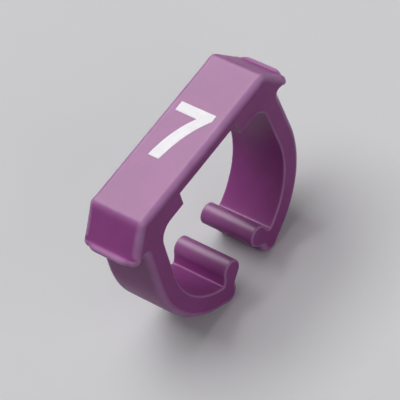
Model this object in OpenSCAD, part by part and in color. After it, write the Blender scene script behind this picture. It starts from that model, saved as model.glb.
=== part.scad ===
// Clip-on cable marker: a flat label plate on a C-shaped clip, moulded in one piece.
// Units are millimetres. X runs across the cable, along the label; Y runs along the cable; Z is up.
// The origin is the centre of the clip's round arms.

/* [Label plate] */
// Length of the flat label face, across the cable
face_len = 8.9; // [8:0.1:11]
// Thickness of the label plate
plate_t = 1.4; // [1.1:0.05:2]
// How far each end slopes out past the label face
slope_run = 1.05; // [0.7:0.05:1.6]
// How far the foot at the bottom of each end stands out past the slope
foot_out = 0.3; // [0.15:0.05:0.5]
// Thickness of each foot
foot_t = 0.3; // [0.2:0.05:0.4]
// How far the underside of each foot hangs below the seat
foot_drop = 0.3; // [0.2:0.05:0.5]
// How far each foot stands back from the two sides
foot_inset = 0.36; // [0.2:0.02:0.5]
// Radius of the upright corners of each foot, seen from above
foot_corner_r = 0.5; // [0.3:0.05:0.7]
// Width of the marker along the cable
marker_w = 3; // [2.4:0.1:6]

/* [Clip] */
// Inner radius of the two round arms
bore_r = 3.95; // [3.6:0.05:4.4]
// Wall thickness of the arms
wall = 1.1; // [0.8:0.05:1.3]
// Lean of the straight walls, inwards as they rise to the plate
wall_lean_deg = 4; // [1:0.5:8]
// Height of the plate's underside, where the cable seats, above the centre of the arms
seat_h = 3.2; // [2.6:0.05:4.5]
// Fillet in the two inner corners under the plate
corner_r = 0.8; // [0.3:0.05:1.4]

/* [Lips] */
// Angle from straight down at which each arm ends and turns in
mouth_deg = 21; // [18:1:35]
// Thickness of the round knuckle where an arm turns into its lip
knuckle_t = 1.25; // [1.15:0.05:1.5]
// Lean of each lip from upright, towards the middle
lip_lean_deg = 29; // [10:1:35]
// Length of each lip between the centres of its two round ends
lip_len = 1.2; // [0.7:0.05:1.3]
// Thickness of each lip
lip_t = 0.9; // [0.7:0.05:1]
// Thickness of the bead along the tip of each lip
tip_t = 1.05; // [1.05:0.05:1.2]

/* [Interlock] */
// Length of the tongue on the rear side, across the cable
tongue_len = 4; // [2:0.1:5]
// How far the tongue stands out
tongue_out = 0.4; // [0.2:0.05:0.7]
// Height of the tongue
tongue_h = 0.6; // [0.3:0.05:0.7]
// Clearance between a tongue and the recess of the next marker
tongue_gap = 0.1; // [0.05:0.01:0.2]

/* [Edges] */
// Radius of the moulded outer edges
edge_r = 0.32; // [0.2:0.01:0.4]

/* [Hidden] */
$fn = 64;

plate_top = seat_h + plate_t;
half_w = marker_w / 2;
face_half = face_len / 2;
plate_half = face_half + slope_run;
foot_half = plate_half + foot_out;
foot_z = seat_h - foot_drop;
foot_top = foot_z + foot_t;
arm_mid_r = bore_r + wall / 2;
arm_outer_r = bore_r + wall;
// Fall, length and angle of each sloped end
slope_fall = plate_top - foot_top;
slope_len = norm([slope_run, slope_fall]);
slope_deg = atan2(slope_fall, slope_run);
// Where each slope ends, half-way down inside its foot
root_z = foot_z + foot_t / 2;
root_half = plate_half + foot_t / 2 * slope_run / slope_fall;
// Tools overshoot the surfaces that they cut by this much
over = 0.8;

// Where a leaning wall that touches the circle of radius r stands at height z
function wall_x(r, z) = (r - z * sin(wall_lean_deg)) / cos(wall_lean_deg);

// What rounding by radius r takes off the corner at the origin, between -X and -Y
module edge_waste(r) {
    difference() {
        translate([-r, -r])
            square(r + over);
        translate([-r, -r])
            circle(r);
    }
}

// Outline of the plate: the label face and the two slopes, down to their roots in the feet
module plate_outline() {
    polygon([
        [-root_half, root_z],
        [root_half, root_z],
        [face_half, plate_top],
        [-face_half, plate_top]
    ]);
}

// Round bottom of radius r, with leaning sides that touch it and rise to the seat
module bell_outline(r) {
    hip_z = r * sin(wall_lean_deg);
    hip_x = r * cos(wall_lean_deg);
    intersection() {
        circle(r);
        translate([-r, -r])
            square([2 * r, r + hip_z]);
    }
    // It starts below the hips, inside the round bottom, so that the two overlap
    polygon([
        [-hip_x, 0],
        [hip_x, 0],
        [hip_x, hip_z],
        [wall_x(r, seat_h), seat_h],
        [-wall_x(r, seat_h), seat_h],
        [-hip_x, hip_z]
    ]);
}

// What the fillet fills in the right inner corner, between the seat and the leaning wall
module corner_outline() {
    centre_z = seat_h - corner_r;
    centre_x = wall_x(bore_r - corner_r, centre_z);
    difference() {
        polygon([
            [centre_x, centre_z],
            [centre_x + corner_r * cos(wall_lean_deg), centre_z + corner_r * sin(wall_lean_deg)],
            [wall_x(bore_r, seat_h), seat_h],
            [centre_x, seat_h]
        ]);
        translate([centre_x, centre_z])
            circle(corner_r);
    }
}

// Opening between the ends of the two arms, a wedge from the centre
module mouth_outline() {
    reach = 2 * arm_outer_r;
    polygon([
        [0, 0],
        [reach * sin(mouth_deg), -reach * cos(mouth_deg)],
        [-reach * sin(mouth_deg), -reach * cos(mouth_deg)]
    ]);
}

// Right lip: the knuckle at the arm's end, the bar that leans in, and the bead at its tip
module lip_outline() {
    translate([arm_mid_r * sin(mouth_deg), -arm_mid_r * cos(mouth_deg)]) {
        circle(knuckle_t / 2);
        rotate(lip_lean_deg) {
            translate([-lip_t / 2, 0])
                square([lip_t, lip_len]);
            translate([0, lip_len])
                circle(tip_t / 2);
        }
    }
}

// Section of the whole marker, across the cable
module clip_outline() {
    difference() {
        union() {
            bell_outline(arm_outer_r);
            plate_outline();
        }
        difference() {
            bell_outline(bore_r);
            for (side = [0, 1])
                mirror([side, 0])
                    corner_outline();
        }
        mouth_outline();
    }
    for (side = [0, 1])
        mirror([side, 0])
            lip_outline();
}

// Stands an outline in the XZ plane and gives it a thickness along Y, centred
module along_cable(width) {
    rotate([90, 0, 0])
        translate([0, 0, -width / 2])
            linear_extrude(width)
                children();
}

// Rounding of the front side's edges on the label face and the two slopes
module plate_edge_cut() {
    translate([-plate_half, -half_w, plate_top])
        rotate([90, 0, 90])
            linear_extrude(2 * plate_half)
                mirror([1, 0])
                    edge_waste(edge_r);
    for (side = [0, 1])
        mirror([side, 0, 0])
            translate([face_half, -half_w, plate_top])
                rotate([0, slope_deg, 0])
                    rotate([90, 0, 90])
                        linear_extrude(slope_len + over)
                            mirror([1, 0])
                                edge_waste(edge_r);
}

// Rounding of the front side's outer edges on the round arms and the walls above them
module arm_edge_cut() {
    wall_len = (root_z - arm_outer_r * sin(wall_lean_deg)) / cos(wall_lean_deg);
    translate([0, -half_w, 0])
        for (side = [0, 1])
            mirror([side, 0, 0])
                rotate([0, -wall_lean_deg, 0]) {
                    translate([arm_outer_r, 0, 0])
                        linear_extrude(wall_len - over * tan(wall_lean_deg))
                            mirror([0, 1])
                                edge_waste(edge_r);
                    rotate([90, 90, 0])
                        rotate_extrude(angle = 90)
                            translate([arm_outer_r, 0])
                                edge_waste(edge_r);
                }
}

// Right foot, seen from above: it starts inside the wall and has round corners
module foot_plan() {
    foot_half_w = half_w - foot_inset;
    root_x = wall_x(arm_mid_r, foot_z);
    difference() {
        translate([root_x, -foot_half_w])
            square([foot_half - root_x, 2 * foot_half_w]);
        for (side = [0, 1])
            mirror([0, side])
                translate([foot_half, foot_half_w])
                    edge_waste(foot_corner_r);
    }
}

// The two feet, one along the bottom of each sloped end
module feet() {
    for (side = [0, 1])
        mirror([side, 0, 0])
            translate([0, 0, foot_z])
                linear_extrude(foot_t)
                    foot_plan();
}

// Tongue on the rear side, level with the plate's underside
module tongue() {
    translate([-tongue_len / 2, half_w - edge_r, seat_h])
        cube([tongue_len, tongue_out + edge_r, tongue_h]);
}

// Tool for the recess in the front side, which takes the tongue of the next marker
module recess_cut() {
    recess_len = tongue_len + 2 * tongue_gap;
    recess_depth = tongue_out + tongue_gap;
    translate([-recess_len / 2, -half_w - over, seat_h - over])
        cube([recess_len, recess_depth + over, tongue_h + tongue_gap + over]);
}

module marker_clip() {
    color("mediumorchid") {
        difference() {
            union() {
                along_cable(marker_w)
                    clip_outline();
                feet();
            }
            for (side = [0, 1])
                mirror([0, side, 0]) {
                    plate_edge_cut();
                    arm_edge_cut();
                }
            recess_cut();
        }
        tongue();
    }
}

marker_clip();
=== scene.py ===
"""Looks of a clip-on cable marker: the moulded clip, the numeral printed on it and a plain studio stage."""

import math

import bpy
import numpy as np
from mathutils import Matrix, Vector


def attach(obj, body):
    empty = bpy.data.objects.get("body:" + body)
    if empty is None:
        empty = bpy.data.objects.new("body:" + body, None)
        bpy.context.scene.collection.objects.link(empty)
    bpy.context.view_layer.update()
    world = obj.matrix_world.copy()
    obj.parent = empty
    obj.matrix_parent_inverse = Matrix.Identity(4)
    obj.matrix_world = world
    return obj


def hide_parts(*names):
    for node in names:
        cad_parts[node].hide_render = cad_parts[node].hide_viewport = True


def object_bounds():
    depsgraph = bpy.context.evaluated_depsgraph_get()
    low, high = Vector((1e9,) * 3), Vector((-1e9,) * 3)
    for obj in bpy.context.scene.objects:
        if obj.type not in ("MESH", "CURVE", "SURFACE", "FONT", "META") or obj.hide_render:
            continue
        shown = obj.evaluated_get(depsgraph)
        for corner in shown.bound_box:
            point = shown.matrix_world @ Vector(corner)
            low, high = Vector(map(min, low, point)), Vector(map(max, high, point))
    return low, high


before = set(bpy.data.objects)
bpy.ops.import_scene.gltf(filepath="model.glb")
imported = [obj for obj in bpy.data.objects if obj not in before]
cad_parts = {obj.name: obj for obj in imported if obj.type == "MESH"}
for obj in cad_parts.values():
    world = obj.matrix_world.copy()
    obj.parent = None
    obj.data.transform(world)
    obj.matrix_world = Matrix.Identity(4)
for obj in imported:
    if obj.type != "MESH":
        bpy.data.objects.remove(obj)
cad_box = [list(corner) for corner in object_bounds()]

bl_info = {
    "name": "Cable marker",
    "version": (1, 0, 0),
    "blender": (4, 5, 0),
    "location": "View3D > Sidebar > Cable marker",
    "description": "Builds a clip-on cable marker with a printed numeral, and a studio stage for it",
    "category": "Add Mesh",
}

MM = 0.001

# Width of the flat rim round each side face, and radius of the tongue's and the recess's own edges
RIM = 0.02 * MM
STEP_R = 0.06 * MM

# Points along the section and rows across it, and the turns of a rounded edge in fine and in coarse steps
SAMPLES = 8000
STATIONS = 800
STRAIGHT_ROWS = 15
FINE_TURN = np.radians(np.linspace(0.0, 90.0, 6))
COARSE_TURN = np.radians([22.5, 45.0, 67.5, 90.0])


def length(name, description, default_mm):
    """A length setting, given in millimetres and kept in metres."""
    return bpy.props.FloatProperty(
        name=name, description=description, default=default_mm * MM, min=0.0, precision=5, unit="LENGTH"
    )


def angle(name, description, default_deg):
    """An angle setting, given in degrees and kept in radians."""
    return bpy.props.FloatProperty(
        name=name, description=description, default=math.radians(default_deg), subtype="ANGLE"
    )


def colour(name, description, default):
    """A colour setting in linear red, green and blue."""
    return bpy.props.FloatVectorProperty(
        name=name, description=description, default=default, min=0.0, max=1.0, size=3, subtype="COLOR"
    )


def amount(name, description, default):
    """A plain number setting."""
    return bpy.props.FloatProperty(name=name, description=description, default=default, min=0.0)


class ClipSettings(bpy.types.PropertyGroup):
    """Sizes and colour of the moulded clip."""

    face_len: length("Face length", "Length of the flat label face", 8.9)
    plate_t: length("Plate thickness", "Thickness of the label plate", 1.4)
    slope_run: length("Slope run", "How far each end slopes out past the label face", 1.05)
    foot_out: length("Foot reach", "How far the foot of each end stands out past the slope", 0.3)
    foot_t: length("Foot thickness", "Thickness of each foot", 0.3)
    foot_drop: length("Foot drop", "How far the underside of each foot hangs below the seat", 0.3)
    foot_inset: length("Foot inset", "How far each foot stands back from the two sides", 0.36)
    foot_corner_r: length("Foot corner radius", "Radius of the upright corners of each foot", 0.5)
    foot_r: length("Foot edge radius", "Radius of the long edges of each foot", 0.1)
    ridge_r: length("Ridge radius", "Radius of the ridge between the label face and each slope", 0.35)
    marker_w: length("Width", "Width of the marker, from its front side to its rear side", 3.0)
    bore_r: length("Arm inner radius", "Inner radius of the two round arms", 3.95)
    wall: length("Wall", "Wall thickness of the arms", 1.1)
    wall_lean: angle("Wall lean", "Lean of the straight walls, inwards as they rise", 4.0)
    seat_h: length("Seat height", "Height of the seat above the centre of the arms", 3.2)
    corner_r: length("Corner fillet", "Fillet in the inner corners under the plate", 0.8)
    mouth: angle("Mouth angle", "Angle from straight down at which each arm ends", 21.0)
    knuckle_t: length("Knuckle thickness", "Thickness where an arm turns into its lip", 1.25)
    lip_lean: angle("Lip lean", "Lean of each lip from upright, towards the middle", 29.0)
    lip_len: length("Lip length", "Length of each lip between its round ends", 1.2)
    lip_t: length("Lip thickness", "Thickness of each lip", 0.9)
    tip_t: length("Tip thickness", "Thickness of the bead along each lip's tip", 1.05)
    tongue_len: length("Tongue length", "Length of the tongue on the rear side", 4.0)
    tongue_out: length("Tongue reach", "How far the tongue stands out", 0.4)
    tongue_h: length("Tongue height", "Height of the tongue", 0.6)
    tongue_gap: length("Tongue clearance", "Clearance between a tongue and a recess", 0.1)
    edge_r: length("Outer edge radius", "Radius of the moulded edges outside", 0.31)
    inner_edge_r: length("Inner edge radius", "Radius of the moulded edges inside", 0.08)
    blend: length("Corner softness", "How far the outline's corners are blended", 0.09)
    sink: length("Face sink", "How far the label face sinks in its middle", 0.03)
    violet: colour("Plastic colour", "Colour of the plastic, all through", (0.365, 0.074, 0.31))
    # Painted highlight: this paler colour is mixed in along the rounded edges and stands in for the light
    # that they catch
    pale: colour("Edge colour", "Colour of the thin and rubbed edges", (0.62, 0.33, 0.62))
    roughness: amount("Plastic roughness", "Roughness of the satin surface", 0.4)


class NumeralSettings(bpy.types.PropertyGroup):
    """Sizes and colour of the printed numeral."""

    height: length("Height", "Height of the numeral along the label", 2.98)
    width: length("Numeral width", "Width of the numeral across the label", 1.88)
    foot_x: length("Foot offset", "How far the numeral's foot lies below the middle of the label", 1.31)
    left_y: length("Left offset", "How far the numeral's left end lies from the middle of the label", 1.0)
    film: length("Ink thickness", "Thickness of the ink film", 0.012)
    white: colour("Ink colour", "Colour of the ink", (0.93, 0.91, 0.95))


class StageSettings(bpy.types.PropertyGroup):
    """Floor, lights and camera."""

    floor_colour: colour("Floor colour", "Colour of the floor that the camera sees", (0.95, 0.95, 0.97))
    frame_width: length("Frame width", "Width of the picture at the marker", 17.6)
    distance: length("Camera distance", "Distance from the marker to the camera", 110.0)
    key: amount("Key light", "Power of the large light overhead, in watts", 0.57)
    sheen: amount("Sheen light", "Power of the light behind that only shows in gloss, in watts", 2.4)
    fill: amount("Fill light", "Power of the weak light in front, in watts", 0.3)
    ambient: amount("Ambient light", "Strength of the even light all round", 0.1)


def arc(centre, radius, start_deg, end_deg):
    """Points on a circular arc: the centre plus the radius times (cos, sin) of evenly spaced angles."""
    turn = np.radians(np.linspace(start_deg, end_deg, int(abs(end_deg - start_deg)) + 6))
    return np.asarray(centre) + radius * np.column_stack((np.cos(turn), np.sin(turn)))


def wall_x(size, radius, height):
    """Where a leaning wall that touches the circle of this radius stands at a height."""
    return (radius - height * math.sin(size.wall_lean)) / math.cos(size.wall_lean)


def half_outline(size):
    """Right half of the section, from the middle of the label face round to the middle of the seat.

    Straight runs join the corners of the plate and its foot; arcs about the origin make the arm's two
    faces; arcs about the ends of the lip make its knuckle and bead. Each point also carries the radius of
    its edge, and whether it lies on the label face or on the seat.
    """
    flat_points = 60
    lean = math.degrees(size.wall_lean)
    mouth = math.degrees(size.mouth)
    lip = 90.0 + math.degrees(size.lip_lean)
    outer_r = size.bore_r + size.wall
    mid_r = size.bore_r + size.wall / 2
    top = size.seat_h + size.plate_t
    face_half = size.face_len / 2
    plate_half = face_half + size.slope_run
    foot_z = size.seat_h - size.foot_drop
    foot_top = foot_z + size.foot_t
    foot_x = plate_half + size.foot_out - size.foot_r
    slope = math.degrees(math.atan2(top - foot_top, size.slope_run))
    ridge = (face_half - size.ridge_r * math.tan(math.radians(slope / 2)), top - size.ridge_r)
    knuckle_r = size.knuckle_t / 2
    tip_r = size.tip_t / 2
    bar = size.lip_t / 2
    knuckle = mid_r * np.array([math.sin(size.mouth), -math.cos(size.mouth)])
    along = np.array([math.cos(math.radians(lip)), math.sin(math.radians(lip))])
    inward = np.array([along[1], -along[0]])
    tip = knuckle + size.lip_len * along

    # Where the knuckle's circle leaves the arm's outer face, seen from the origin and from the knuckle
    share = (outer_r**2 + mid_r**2 - knuckle_r**2) / (2 * outer_r * mid_r)
    arm_end = mouth - 90.0 + math.degrees(math.acos(share))
    leave = outer_r * np.array([math.cos(math.radians(arm_end)), math.sin(math.radians(arm_end))]) - knuckle
    knuckle_start = math.degrees(math.atan2(leave[1], leave[0])) + 360.0
    knuckle_end = lip + 90.0 - math.degrees(math.acos(bar / knuckle_r))
    bead_turn = math.degrees(math.acos(bar / tip_r))

    # Where the lip's inner side meets the arm's inner face
    start = knuckle + bar * inward
    reach = -start @ along - math.sqrt((start @ along) ** 2 - start @ start + size.bore_r**2)
    meet = start + reach * along
    meet_deg = math.degrees(math.atan2(meet[1], meet[0]))

    # The slope keeps its broad side edges down to here, a tenth of its length above the foot
    short = 0.1
    slope_low = (plate_half - short * size.slope_run, foot_top + short * (top - foot_top))

    fillet_z = size.seat_h - size.corner_r
    fillet = (wall_x(size, size.bore_r - size.corner_r, fillet_z), fillet_z)
    outside, inside = size.edge_r, size.inner_edge_r
    runs = [
        (np.linspace((0.0, top), (ridge[0], top), flat_points), outside, 1.0, 0.0),
        (arc(ridge, size.ridge_r, 90.0, 90.0 - slope), outside, 0.0, 0.0),
        (np.array([slope_low]), outside, 0.0, 0.0),
        (np.array([(plate_half, foot_top)]), inside, 0.0, 0.0),
        (arc((foot_x, foot_top - size.foot_r), size.foot_r, 90.0, 0.0), inside, 0.0, 0.0),
        (arc((foot_x, foot_z + size.foot_r), size.foot_r, 0.0, -90.0), inside, 0.0, 0.0),
        (np.array([(wall_x(size, outer_r, foot_z), foot_z)]), outside, 0.0, 0.0),
        (arc((0.0, 0.0), outer_r, lean, arm_end), outside, 0.0, 0.0),
        (arc(knuckle, knuckle_r, knuckle_start, knuckle_end), outside, 0.0, 0.0),
        (arc(tip, tip_r, lip + 90.0 + bead_turn, lip - 90.0 - bead_turn), inside, 0.0, 0.0),
        (arc((0.0, 0.0), size.bore_r, meet_deg, lean), inside, 0.0, 0.0),
        (arc(fillet, size.corner_r, lean + 1.0, 89.0), inside, 0.0, 0.0),
        (np.linspace((fillet[0], size.seat_h), (0.0, size.seat_h), flat_points), inside, 0.0, 1.0),
    ]
    points = np.vstack([run[0] for run in runs])
    marks = np.vstack([np.tile(run[1:], (len(run[0]), 1)) for run in runs])
    return np.hstack((points, marks))


def blended(values, spacing, reach):
    """Values round a closed outline, blended along it by a Gaussian of this reach."""
    waves = np.fft.fftfreq(len(values), spacing)
    damping = np.exp(-2 * (math.pi * waves * reach) ** 2)
    return np.fft.ifft(np.fft.fft(values, axis=0) * damping[:, None], axis=0).real


def outline_stations(size):
    """Points, edge radii, label and seat marks, outward normals and bends of the closed section.

    The right half and its mirror image are resampled evenly, the corners are blended, and an edge radius is
    kept under the radius of any outward corner close by. The stations are then set closer where the outline
    turns and at the ends of the tongue and recess.
    """
    corner_share, corner_reach = 0.8, 0.3 * MM
    bend_weight, side_weight, side_reach = 0.6 * MM, 8.0, 0.1 * MM
    right = half_outline(size)
    left = right[::-1] * (-1, 1, 1, 1, 1)
    loop = np.vstack((right, left[1:-1], right[:1]))
    step = np.hypot(*np.diff(loop[:, :2], axis=0).T)
    run = np.concatenate(([0.0], np.cumsum(step)))
    spacing = run[-1] / SAMPLES
    even = np.arange(SAMPLES) * spacing
    fine = np.column_stack([np.interp(even, run, column) for column in loop.T])
    fine[:, :2] = blended(fine[:, :2], spacing, size.blend)
    tangent = np.roll(fine[:, :2], -1, axis=0) - np.roll(fine[:, :2], 1, axis=0)
    tangent /= np.hypot(*tangent.T)[:, None]
    normal = np.column_stack((-tangent[:, 1], tangent[:, 0]))
    following = np.roll(tangent, -1, axis=0)
    pace = np.hypot(*(np.roll(fine[:, :2], -1, axis=0) - fine[:, :2]).T)
    bend = (tangent[:, 1] * following[:, 0] - tangent[:, 0] * following[:, 1]) / pace
    tightest = corner_share / np.maximum(bend, 1.0) - RIM
    reach = int(corner_reach / spacing)
    nearby = np.stack([np.roll(tightest, shift) for shift in range(-reach, reach + 1)])
    fine[:, 2] = np.minimum(fine[:, 2], nearby.min(axis=0))
    fine[:, 2:] = blended(fine[:, 2:], spacing, size.blend)
    side = size.tongue_len / 2 + size.tongue_gap / 2
    near_side = np.exp(-(((np.abs(fine[:, 0]) - side) / side_reach) ** 2)) * fine[:, 4]
    density = 1.0 + bend_weight * np.abs(bend) * pace / spacing + side_weight * near_side
    tally = np.concatenate(([0.0], np.cumsum(density)))
    place = np.interp(np.arange(STATIONS) * tally[-1] / STATIONS, tally, np.arange(SAMPLES + 1))
    table = np.hstack((fine, normal, bend[:, None]))
    table = np.vstack((table, table[:1]))
    return np.column_stack([np.interp(place, np.arange(SAMPLES + 1), column) for column in table.T])


def plain_rows(edge, half_w, middle):
    """Rows from a side face in to the middle: a flat rim, a quarter round of the edge, a straight run.

    Each row is an inset from the outline and a distance from the middle of the width.
    """
    along = np.linspace(0.0, 1.0, STRAIGHT_ROWS + 1)[1:]
    start = half_w - edge
    rim = np.full_like(edge, half_w)
    straight = np.zeros((len(edge), STRAIGHT_ROWS))
    inset = np.hstack((edge + RIM, edge * (1 - np.sin(FINE_TURN)), straight))
    reach = np.hstack((rim, half_w - edge * (1 - np.cos(FINE_TURN)), start + (middle - start) * along))
    return inset, reach


def recess_rows(size, middle):
    """Rows of the recess: rounded front edge, ceiling, hollow fillet, floor, rounded edge of the seat."""
    half_w = size.marker_w / 2
    ceiling = size.tongue_h + size.tongue_gap
    floor = half_w - size.tongue_out - size.tongue_gap
    big = size.inner_edge_r
    inset = np.concatenate(
        (
            [ceiling + big + RIM],
            ceiling + big * (1 - np.sin(FINE_TURN)),
            [ceiling, ceiling],
            ceiling - STEP_R * (1 - np.cos(COARSE_TURN)),
            [0.66 * ceiling, STEP_R],
            STEP_R * (1 - np.sin(COARSE_TURN)),
            [0.0, 0.0, 0.0],
        )
    )
    reach = np.concatenate(
        (
            [half_w],
            half_w - big * (1 - np.cos(FINE_TURN)),
            [(half_w + floor) / 2, floor + STEP_R],
            floor + STEP_R * (1 - np.sin(COARSE_TURN)),
            [floor, floor],
            floor - STEP_R * (1 - np.cos(COARSE_TURN)),
            np.linspace(floor - STEP_R, middle, 4)[1:],
        )
    )
    return inset, reach


def tongue_rows(size, middle):
    """Rows of the tongue: foot fillet, top, rounded edge, outer face, rounded edge, underside."""
    half_w = size.marker_w / 2
    out = half_w + size.tongue_out
    inset = np.concatenate(
        (
            size.tongue_h + STEP_R + RIM * np.array([2.0, 1.0, 0.0]),
            size.tongue_h + STEP_R * (1 - np.sin(COARSE_TURN)),
            [size.tongue_h, size.tongue_h],
            size.tongue_h - STEP_R * (1 - np.cos(COARSE_TURN)),
            [0.5 * size.tongue_h, STEP_R],
            STEP_R * (1 - np.sin(COARSE_TURN)),
            [0.0, 0.0, 0.0],
        )
    )
    reach = np.concatenate(
        (
            [half_w, half_w, half_w],
            half_w + STEP_R * (1 - np.cos(COARSE_TURN)),
            [half_w + 0.5 * size.tongue_out, out - STEP_R],
            out - STEP_R * (1 - np.sin(COARSE_TURN)),
            [out, out],
            out - STEP_R * (1 - np.cos(COARSE_TURN)),
            np.linspace(out - STEP_R, middle, 4)[1:],
        )
    )
    return inset, reach


def face_sink(size, x, y):
    """How far the label face lies below its edges: a flat-bottomed dish, zero along its rim."""
    across = np.clip(1 - (2 * x / size.face_len) ** 4, 0.0, 1.0)
    along = np.clip(1 - (2 * y / size.marker_w) ** 4, 0.0, 1.0)
    return size.sink * across * along


def foot_limit(size, x, y, z):
    """Points of the two feet drawn in so that each foot ends in round upright corners.

    At a depth d into a corner of radius r the foot reaches out to x = c + sqrt(r^2 - d^2). What stands out
    past the slope there is shortened in the same share, and nearly to nothing beside the foot. The slope
    itself gives way to the round edges at the two sides, by e - sqrt(e^2 - d^2).
    """
    least_share = 0.06
    radius, edge = size.foot_corner_r, size.edge_r
    half_w = size.marker_w / 2
    fall = size.plate_t + size.foot_drop - size.foot_t
    foot_top = size.seat_h - size.foot_drop + size.foot_t
    depth = np.clip(np.abs(y) - (half_w - size.foot_inset - radius), 0.0, radius)
    reach = size.foot_out - radius + np.sqrt(radius**2 - depth**2)
    share = np.clip(reach / size.foot_out, least_share, 1.0)
    depth = np.clip(np.abs(y) - (half_w - edge), 0.0, edge)
    rounding = (edge - np.sqrt(edge**2 - depth**2)) * math.hypot(size.slope_run, fall) / fall
    drop = np.minimum(foot_top - z, size.foot_t / 2)
    slope_x = size.face_len / 2 + size.slope_run * (1 + drop / fall) - rounding
    past = np.maximum(np.abs(x) - slope_x, 0.0)
    return np.sign(x) * (np.abs(x) - (1 - share) * past)


def ease(value):
    """A smooth step from 0 to 1."""
    value = np.clip(value, 0.0, 1.0)
    return value * value * (3 - 2 * value)


def clip_surface(size):
    """The clip as a grid: stations round the section by rows across the width.

    A point is its station moved against the outward normal by the row's inset, at the row's place across
    the width. On the seat the front rows turn into those of the recess and the rear rows into those of the
    tongue. The two side faces close the grid. With the points comes how far each lies on an edge, 0 to 1,
    which sets the painted highlight along the edges.
    tongue. The two side faces close the grid. With the points comes how far each lies on an edge, 0 to 1.
    """
    stations = outline_stations(size)
    x, z, edge, label, seat, normal_x, normal_z, bend = (column[:, None] for column in stations.T)
    half_w = size.marker_w / 2
    front_middle, rear_middle = 0.5 * MM, 1.0 * MM
    middle_rows = 11
    side, nearly = 0.05 * MM, 0.99
    in_recess = seat * ease((size.tongue_len / 2 + size.tongue_gap - np.abs(x)) / side)
    in_tongue = seat * ease((size.tongue_len / 2 - np.abs(x)) / side)
    in_recess = np.where(in_recess > nearly, 1.0, in_recess)
    in_tongue = np.where(in_tongue > nearly, 1.0, in_tongue)

    plain_inset, plain_reach = plain_rows(edge, half_w, front_middle)
    step_inset, step_reach = recess_rows(size, front_middle)
    front_inset = plain_inset + in_recess * (step_inset - plain_inset)
    front_y = -(plain_reach + in_recess * (step_reach - plain_reach))
    plain_inset, plain_reach = plain_rows(edge, half_w, rear_middle)
    step_inset, step_reach = tongue_rows(size, rear_middle)
    rear_inset = plain_inset + in_tongue * (step_inset - plain_inset)
    rear_y = plain_reach + in_tongue * (step_reach - plain_reach)
    middle_y = np.tile(np.linspace(-front_middle, rear_middle, middle_rows + 2)[1:-1], (STATIONS, 1))

    inset = np.hstack((front_inset, np.zeros_like(middle_y), rear_inset[:, ::-1]))
    y = np.hstack((front_y, middle_y, rear_y[:, ::-1]))
    grid_x = x - inset * normal_x
    grid_z = z - inset * normal_z - label * face_sink(size, grid_x, y)
    grid_x = foot_limit(size, grid_x, y, grid_z)

    # How far each point lies on a rounded edge, for the painted highlight there: a paler colour that stands
    # in for the light the edges catch
    corner_paleness = 0.12 * MM
    bow = np.sin(np.radians(np.linspace(15.0, 165.0, len(FINE_TURN))))
    round_rows = np.concatenate(([0.0], bow, np.zeros(STRAIGHT_ROWS)))
    on_front = np.tile(round_rows, (STATIONS, 1))
    on_rear = round_rows[::-1] * (1 - in_tongue)
    on_side = np.hstack((on_front, np.zeros_like(middle_y), on_rear))
    on_corner = np.clip(corner_paleness * bend, 0.0, 1.0)
    painted_highlight = 1 - (1 - on_side) * (1 - on_corner)
    painted_highlight[:, [0, -1]] = 0.0
    return np.stack((grid_x, y, grid_z), axis=-1), painted_highlight


def numeral_surface(clip, size):
    """The numeral as a grid: a flat ribbon between two edge curves, with a thin rounded section.

    The outer edge runs along the top of the bar, round its end and down a quadratic curve to the foot; the
    inner edge runs along the underside of the bar and down a second curve. Rows across the ribbon rise
    from under the label face, level off at the film's thickness and fall again.
    """
    bar_share = np.linspace(0.0, 1.0, 12)[:, None]
    turn_share = np.linspace(0.0, 1.0, 10)[1:, None]
    end_share = np.linspace(0.0, 1.0, 7)[1:, None]
    drop_share = np.array([[0.33], [0.66], [1.0]])
    stem_share = np.linspace(0.0, 1.0, 26)[1:, None]
    rest_share = 1 - stem_share

    def curve(start, pull, end):
        """A quadratic curve: start, pull and end weighted by the squares and product of the shares."""
        return rest_share**2 * start + 2 * stem_share * rest_share * pull + stem_share**2 * end

    # Corners in shares of the numeral's width and height, from its lower left
    top_left, top_mid = np.array([0.0, 1.0]), np.array([0.625, 1.0])
    top_right, bar_right = np.array([1.0, 1.0]), np.array([1.0, 0.88])
    under_left, under_mid = np.array([0.0, 0.829]), np.array([0.615, 0.829])
    crook = np.array([0.63, 0.829])
    outer_pull, outer_foot = np.array([0.61, 0.55]), np.array([0.505, 0.0])
    inner_pull, inner_foot = np.array([0.28, 0.52]), np.array([0.197, 0.0])
    outer = np.vstack(
        (
            top_left + (top_mid - top_left) * bar_share,
            top_mid + (top_right - top_mid) * end_share,
            top_right + (bar_right - top_right) * drop_share,
            curve(bar_right, outer_pull, outer_foot),
        )
    )
    inner = np.vstack(
        (
            under_left + (under_mid - under_left) * bar_share,
            under_mid + (crook - under_mid) * turn_share,
            curve(crook, inner_pull, inner_foot),
        )
    )
    across = np.array([0.0, 0.0, 0.06, 0.35, 0.65, 0.94, 1.0, 1.0])[None, :, None]
    rise = np.array([-1.0, 0.5, 1.0, 1.0, 1.0, 1.0, 0.5, -1.0])[None, :]
    ribbon = inner[:, None] + (outer - inner)[:, None] * across
    x = ribbon[..., 1] * size.height - size.foot_x
    y = size.left_y - ribbon[..., 0] * size.width
    top = clip.seat_h + clip.plate_t
    return np.stack((x, y, top - face_sink(clip, x, y) + size.film * rise), axis=-1)


def grid_faces(rows, columns):
    """Faces of a grid whose rows close on themselves, with its two open rims closed by one face each."""
    row, column = np.meshgrid(np.arange(rows), np.arange(columns - 1), indexing="ij")
    following = (row + 1) % rows
    quads = np.stack(
        (
            row * columns + column,
            following * columns + column,
            following * columns + column + 1,
            row * columns + column + 1,
        ),
        axis=-1,
    )
    first_rim = np.arange(rows)[::-1] * columns
    last_rim = np.arange(rows) * columns + columns - 1
    return quads.reshape(-1, 4).tolist() + [first_rim.tolist(), last_rim.tolist()]


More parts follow.
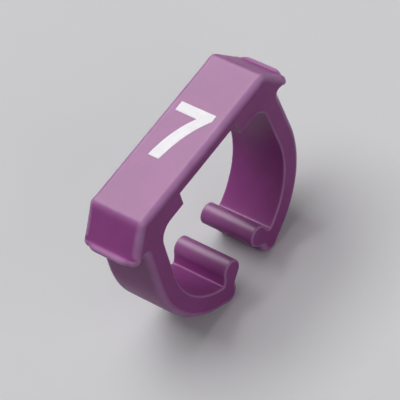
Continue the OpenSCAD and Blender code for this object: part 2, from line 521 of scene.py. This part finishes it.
def add_piece(name, grid, material, sharp_deg):
    """Puts a grid of points into a mesh object, smooth but for its two end faces and sharper edges."""
    rows, columns = grid.shape[:2]
    mesh = bpy.data.meshes.new(name)
    mesh.from_pydata(grid.reshape(-1, 3).tolist(), [], grid_faces(rows, columns))
    mesh.polygons.foreach_set("use_smooth", np.arange(len(mesh.polygons)) < len(mesh.polygons) - 2)
    mesh.set_sharp_from_angle(angle=math.radians(sharp_deg))
    mesh.materials.append(material)
    mesh.update()
    piece = bpy.data.objects.new(name, mesh)
    bpy.context.scene.collection.objects.link(piece)
    return piece


def new_material(name):
    """A new node material, with its nodes, its links and its shader."""
    material = bpy.data.materials.new(name)
    material.use_nodes = True
    nodes = material.node_tree.nodes
    return material, nodes, material.node_tree.links, nodes["Principled BSDF"]


def noise(nodes, links, scale, detail):
    """A noise pattern on object coordinates; one over the scale is the size of its grains in metres."""
    place = nodes.new("ShaderNodeTexCoord")
    pattern = nodes.new("ShaderNodeTexNoise")
    pattern.inputs["Scale"].default_value = scale
    pattern.inputs["Detail"].default_value = detail
    links.new(place.outputs["Object"], pattern.inputs["Vector"])
    return pattern.outputs["Fac"]


def spread(nodes, links, source, low, high):
    """Spreads a pattern's middle range over the values from low to high."""
    node = nodes.new("ShaderNodeMapRange")
    node.inputs["From Min"].default_value = 0.3
    node.inputs["From Max"].default_value = 0.7
    node.inputs["To Min"].default_value = low
    node.inputs["To Max"].default_value = high
    links.new(source, node.inputs["Value"])
    return node.outputs["Result"]


def shades(nodes, links, source, first, second):
    """Two colours mixed by a pattern."""
    node = nodes.new("ShaderNodeMix")
    node.data_type = "RGBA"
    node.inputs["A"].default_value = (*first, 1.0)
    node.inputs["B"].default_value = (*second, 1.0)
    links.new(source, node.inputs["Factor"])
    return node.outputs["Result"]


def satin_violet(size):
    """Moulded violet plastic: clouded colour, a painted highlight of paler colour along the edges, a satin
    surface and a fine mould grain.
    """
    material, nodes, links, shader = new_material("satin_violet")
    darker, lighter = 0.93, 1.07
    unevenness = 0.05
    cloud = noise(nodes, links, scale=700.0, detail=3.0)
    grain = noise(nodes, links, scale=16000.0, detail=2.0)
    violet = np.array(size.violet)
    tint = shades(nodes, links, spread(nodes, links, cloud, 0.0, 1.0), violet * darker, violet * lighter)
    # Painted highlight: the rounded edges are mixed towards the paler edge colour, standing in for the
    # light they catch
    painted_highlight = nodes.new("ShaderNodeAttribute")
    painted_highlight.attribute_name = "painted_highlight"
    highlit = nodes.new("ShaderNodeMath")
    highlit.operation = "MULTIPLY"
    links.new(painted_highlight.outputs["Fac"], highlit.inputs[0])
    links.new(spread(nodes, links, cloud, low=0.5, high=0.9), highlit.inputs[1])
    edged = nodes.new("ShaderNodeMix")
    edged.data_type = "RGBA"
    edged.inputs["B"].default_value = (*size.pale, 1.0)
    links.new(highlit.outputs[0], edged.inputs["Factor"])
    links.new(tint, edged.inputs["A"])
    links.new(edged.outputs["Result"], shader.inputs["Base Color"])
    satin = spread(nodes, links, grain, size.roughness - unevenness, size.roughness + unevenness)
    links.new(satin, shader.inputs["Roughness"])
    bump = nodes.new("ShaderNodeBump")
    bump.inputs["Strength"].default_value = 0.35
    bump.inputs["Distance"].default_value = 0.004 * MM
    links.new(grain, bump.inputs["Height"])
    links.new(bump.outputs["Normal"], shader.inputs["Normal"])
    shader.inputs["IOR"].default_value = 1.5
    shader.inputs["Specular IOR Level"].default_value = 0.2
    shader.inputs["Subsurface Weight"].default_value = 0.1
    shader.inputs["Subsurface Radius"].default_value = (1.0, 0.4, 1.0)
    shader.inputs["Subsurface Scale"].default_value = 0.3 * MM
    return material


def white_print(size):
    """Printed white ink: slightly uneven cover over the plastic, and a dull surface."""
    material, nodes, links, shader = new_material("white_print")
    thin_cover = (0.94, 0.92, 0.95)
    cover = noise(nodes, links, scale=6000.0, detail=3.0)
    white = np.array(size.white)
    tint = shades(nodes, links, spread(nodes, links, cover, 0.0, 1.0), white * thin_cover, white)
    links.new(tint, shader.inputs["Base Color"])
    links.new(spread(nodes, links, cover, low=0.45, high=0.6), shader.inputs["Roughness"])
    return material


def seen_as_is(nodes, links):
    """1 for rays that show the background itself: from the camera, in gloss and through clear matter."""
    path = nodes.new("ShaderNodeLightPath")
    share = path.outputs["Is Camera Ray"]
    for kind in ("Is Glossy Ray", "Is Transmission Ray"):
        either = nodes.new("ShaderNodeMath")
        either.operation = "MAXIMUM"
        links.new(share, either.inputs[0])
        links.new(path.outputs[kind], either.inputs[1])
        share = either.outputs[0]
    return share


def pale_floor(size):
    """A plain pale floor as seen by the camera and in gloss, which throws back less light on the marker."""
    material, nodes, links, shader = new_material("pale_floor")
    thrown_back = 0.22
    pale = np.array(size.floor_colour)
    tint = shades(nodes, links, seen_as_is(nodes, links), pale * thrown_back, pale)
    links.new(tint, shader.inputs["Base Color"])
    shader.inputs["Roughness"].default_value = 0.9
    shader.inputs["Specular IOR Level"].default_value = 0.1
    return material


def add_light(name, watts, target, direction, distance, width):
    """A square soft light that stands off from the target in a direction and faces it."""
    lamp = bpy.data.lights.new(name, "AREA")
    lamp.shape = "SQUARE"
    lamp.size = width
    lamp.energy = watts
    light = bpy.data.objects.new(name, lamp)
    towards = Vector(direction).normalized()
    light.location = target + distance * towards
    light.rotation_mode = "QUATERNION"
    light.rotation_quaternion = towards.to_track_quat("Z", "Y")
    light.visible_camera = False
    bpy.context.scene.collection.objects.link(light)
    return light


def add_floor(size, level):
    """A square floor at this level, as a grid of points."""
    half, count = 0.35, 9
    reach = np.linspace(-half, half, count)
    x, y = np.meshgrid(reach, reach, indexing="ij")
    points = np.stack((x, y, np.full_like(x, level)), axis=-1).reshape(-1, 3)
    steps = np.arange(count - 1)
    corner = (steps[:, None] * count + steps).reshape(-1, 1)
    mesh = bpy.data.meshes.new("floor")
    mesh.from_pydata(points.tolist(), [], (corner + np.array([0, count, count + 1, 1])).tolist())
    mesh.materials.append(pale_floor(size))
    floor = bpy.data.objects.new("floor", mesh)
    bpy.context.scene.collection.objects.link(floor)


def add_camera(size, centre):
    """A long lens that looks at the centre, along the view of the photograph."""
    # The axes of the picture in the marker's frame: right, up, and towards the camera
    back = Vector((-0.369, -0.513, 0.775)).normalized()
    right = Vector((0.582, -0.778, -0.238))
    right = (right - right.dot(back) * back).normalized()
    up = back.cross(right)
    camera = bpy.data.cameras.new("camera")
    camera.sensor_width = 36.0
    camera.lens = camera.sensor_width * size.distance / size.frame_width
    camera.clip_start = 0.001
    camera.clip_end = 5.0
    eye = bpy.data.objects.new("camera", camera)
    turn = Matrix((right, up, back)).transposed().to_4x4()
    eye.matrix_world = Matrix.Translation(centre + size.distance * back) @ turn
    bpy.context.scene.collection.objects.link(eye)
    bpy.context.scene.camera = eye


def add_world(size):
    """Even, weak light all round, which shows as the floor's colour where it is seen as it is."""
    world = bpy.data.worlds.new("studio")
    world.use_nodes = True
    nodes, links = world.node_tree.nodes, world.node_tree.links
    light = nodes["Background"]
    light.inputs["Color"].default_value = (1.0, 1.0, 1.0, 1.0)
    light.inputs["Strength"].default_value = size.ambient
    seen = nodes.new("ShaderNodeBackground")
    seen.inputs["Color"].default_value = (*size.floor_colour, 1.0)
    seen.inputs["Strength"].default_value = 1.0
    choice = nodes.new("ShaderNodeMixShader")
    links.new(seen_as_is(nodes, links), choice.inputs["Fac"])
    links.new(light.outputs["Background"], choice.inputs[1])
    links.new(seen.outputs["Background"], choice.inputs[2])
    links.new(choice.outputs["Shader"], nodes["World Output"].inputs["Surface"])
    bpy.context.scene.world = world


class MARKER_OT_clip(bpy.types.Operator):
    """Build the moulded clip with its label plate, arms, lips, tongue and recess."""

    bl_idname = "cable_marker.clip"
    bl_label = "Clip"

    def execute(self, context):
        size = context.scene.marker_clip_settings
        grid, painted_highlight = clip_surface(size)
        piece = add_piece("moulded_clip", grid, satin_violet(size), sharp_deg=40.0)
        # The share of the painted edge highlight at each point, kept on the mesh for the material
        share = piece.data.attributes.new("painted_highlight", "FLOAT", "POINT")
        share.data.foreach_set("value", painted_highlight.ravel())
        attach(piece, "root")
        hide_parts("marker_clip")
        return {"FINISHED"}


class MARKER_OT_numeral(bpy.types.Operator):
    """Print the numeral on the label face."""

    bl_idname = "cable_marker.numeral"
    bl_label = "Numeral"

    def execute(self, context):
        clip = context.scene.marker_clip_settings
        size = context.scene.marker_numeral_settings
        ribbon = numeral_surface(clip, size).transpose(1, 0, 2)
        piece = add_piece("printed_numeral", ribbon, white_print(size), sharp_deg=60.0)
        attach(piece, "root")
        return {"FINISHED"}


class MARKER_OT_stage(bpy.types.Operator):
    """Set out the floor, the lights and the camera."""

    bl_idname = "cable_marker.stage"
    bl_label = "Stage"

    def execute(self, context):
        size = context.scene.marker_stage_settings
        low, high = (Vector(corner) for corner in cad_box)
        centre = (low + high) / 2
        add_floor(size, low.z)
        add_camera(size, centre)
        add_light("key", size.key, centre, direction=(0.0, 0.3, 0.95), distance=0.32, width=0.24)
        add_light("fill", size.fill, centre, direction=(-0.1, -0.88, 0.43), distance=0.4, width=0.32)
        behind = (0.37, 0.51, 0.78)
        sheen = add_light("sheen", size.sheen, centre, direction=behind, distance=0.32, width=0.24)
        sheen.visible_diffuse = False
        add_world(size)
        context.scene.view_settings.view_transform = "Standard"
        return {"FINISHED"}


class MARKER_PT_panel(bpy.types.Panel):
    """The marker's pieces and settings, in the sidebar."""

    bl_idname = "MARKER_PT_panel"
    bl_label = "Cable marker"
    bl_space_type = "VIEW_3D"
    bl_region_type = "UI"
    bl_category = "Cable marker"

    def draw(self, context):
        layout = self.layout
        for operator, name, _ in PIECES:
            layout.operator(operator.bl_idname)
            settings = getattr(context.scene, name)
            box = layout.box()
            for key in settings.__annotations__:
                box.prop(settings, key)


# Each operator, the name of its settings on the scene, and their class
PIECES = (
    (MARKER_OT_clip, "marker_clip_settings", ClipSettings),
    (MARKER_OT_numeral, "marker_numeral_settings", NumeralSettings),
    (MARKER_OT_stage, "marker_stage_settings", StageSettings),
)
CLASSES = (
    ClipSettings,
    NumeralSettings,
    StageSettings,
    MARKER_OT_clip,
    MARKER_OT_numeral,
    MARKER_OT_stage,
    MARKER_PT_panel,
)


def register():
    """Adds the classes and hangs the settings on the scene."""
    for cls in CLASSES:
        bpy.utils.register_class(cls)
    for _, name, group in PIECES:
        setattr(bpy.types.Scene, name, bpy.props.PointerProperty(type=group))


def unregister():
    """Takes the settings and the classes away again."""
    for _, name, _ in PIECES:
        delattr(bpy.types.Scene, name)
    for cls in reversed(CLASSES):
        bpy.utils.unregister_class(cls)


def main():
    """Registers the classes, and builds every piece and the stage."""
    register()
    bpy.ops.cable_marker.clip()
    bpy.ops.cable_marker.numeral()
    bpy.ops.cable_marker.stage()


if __name__ == "__main__":
    main()
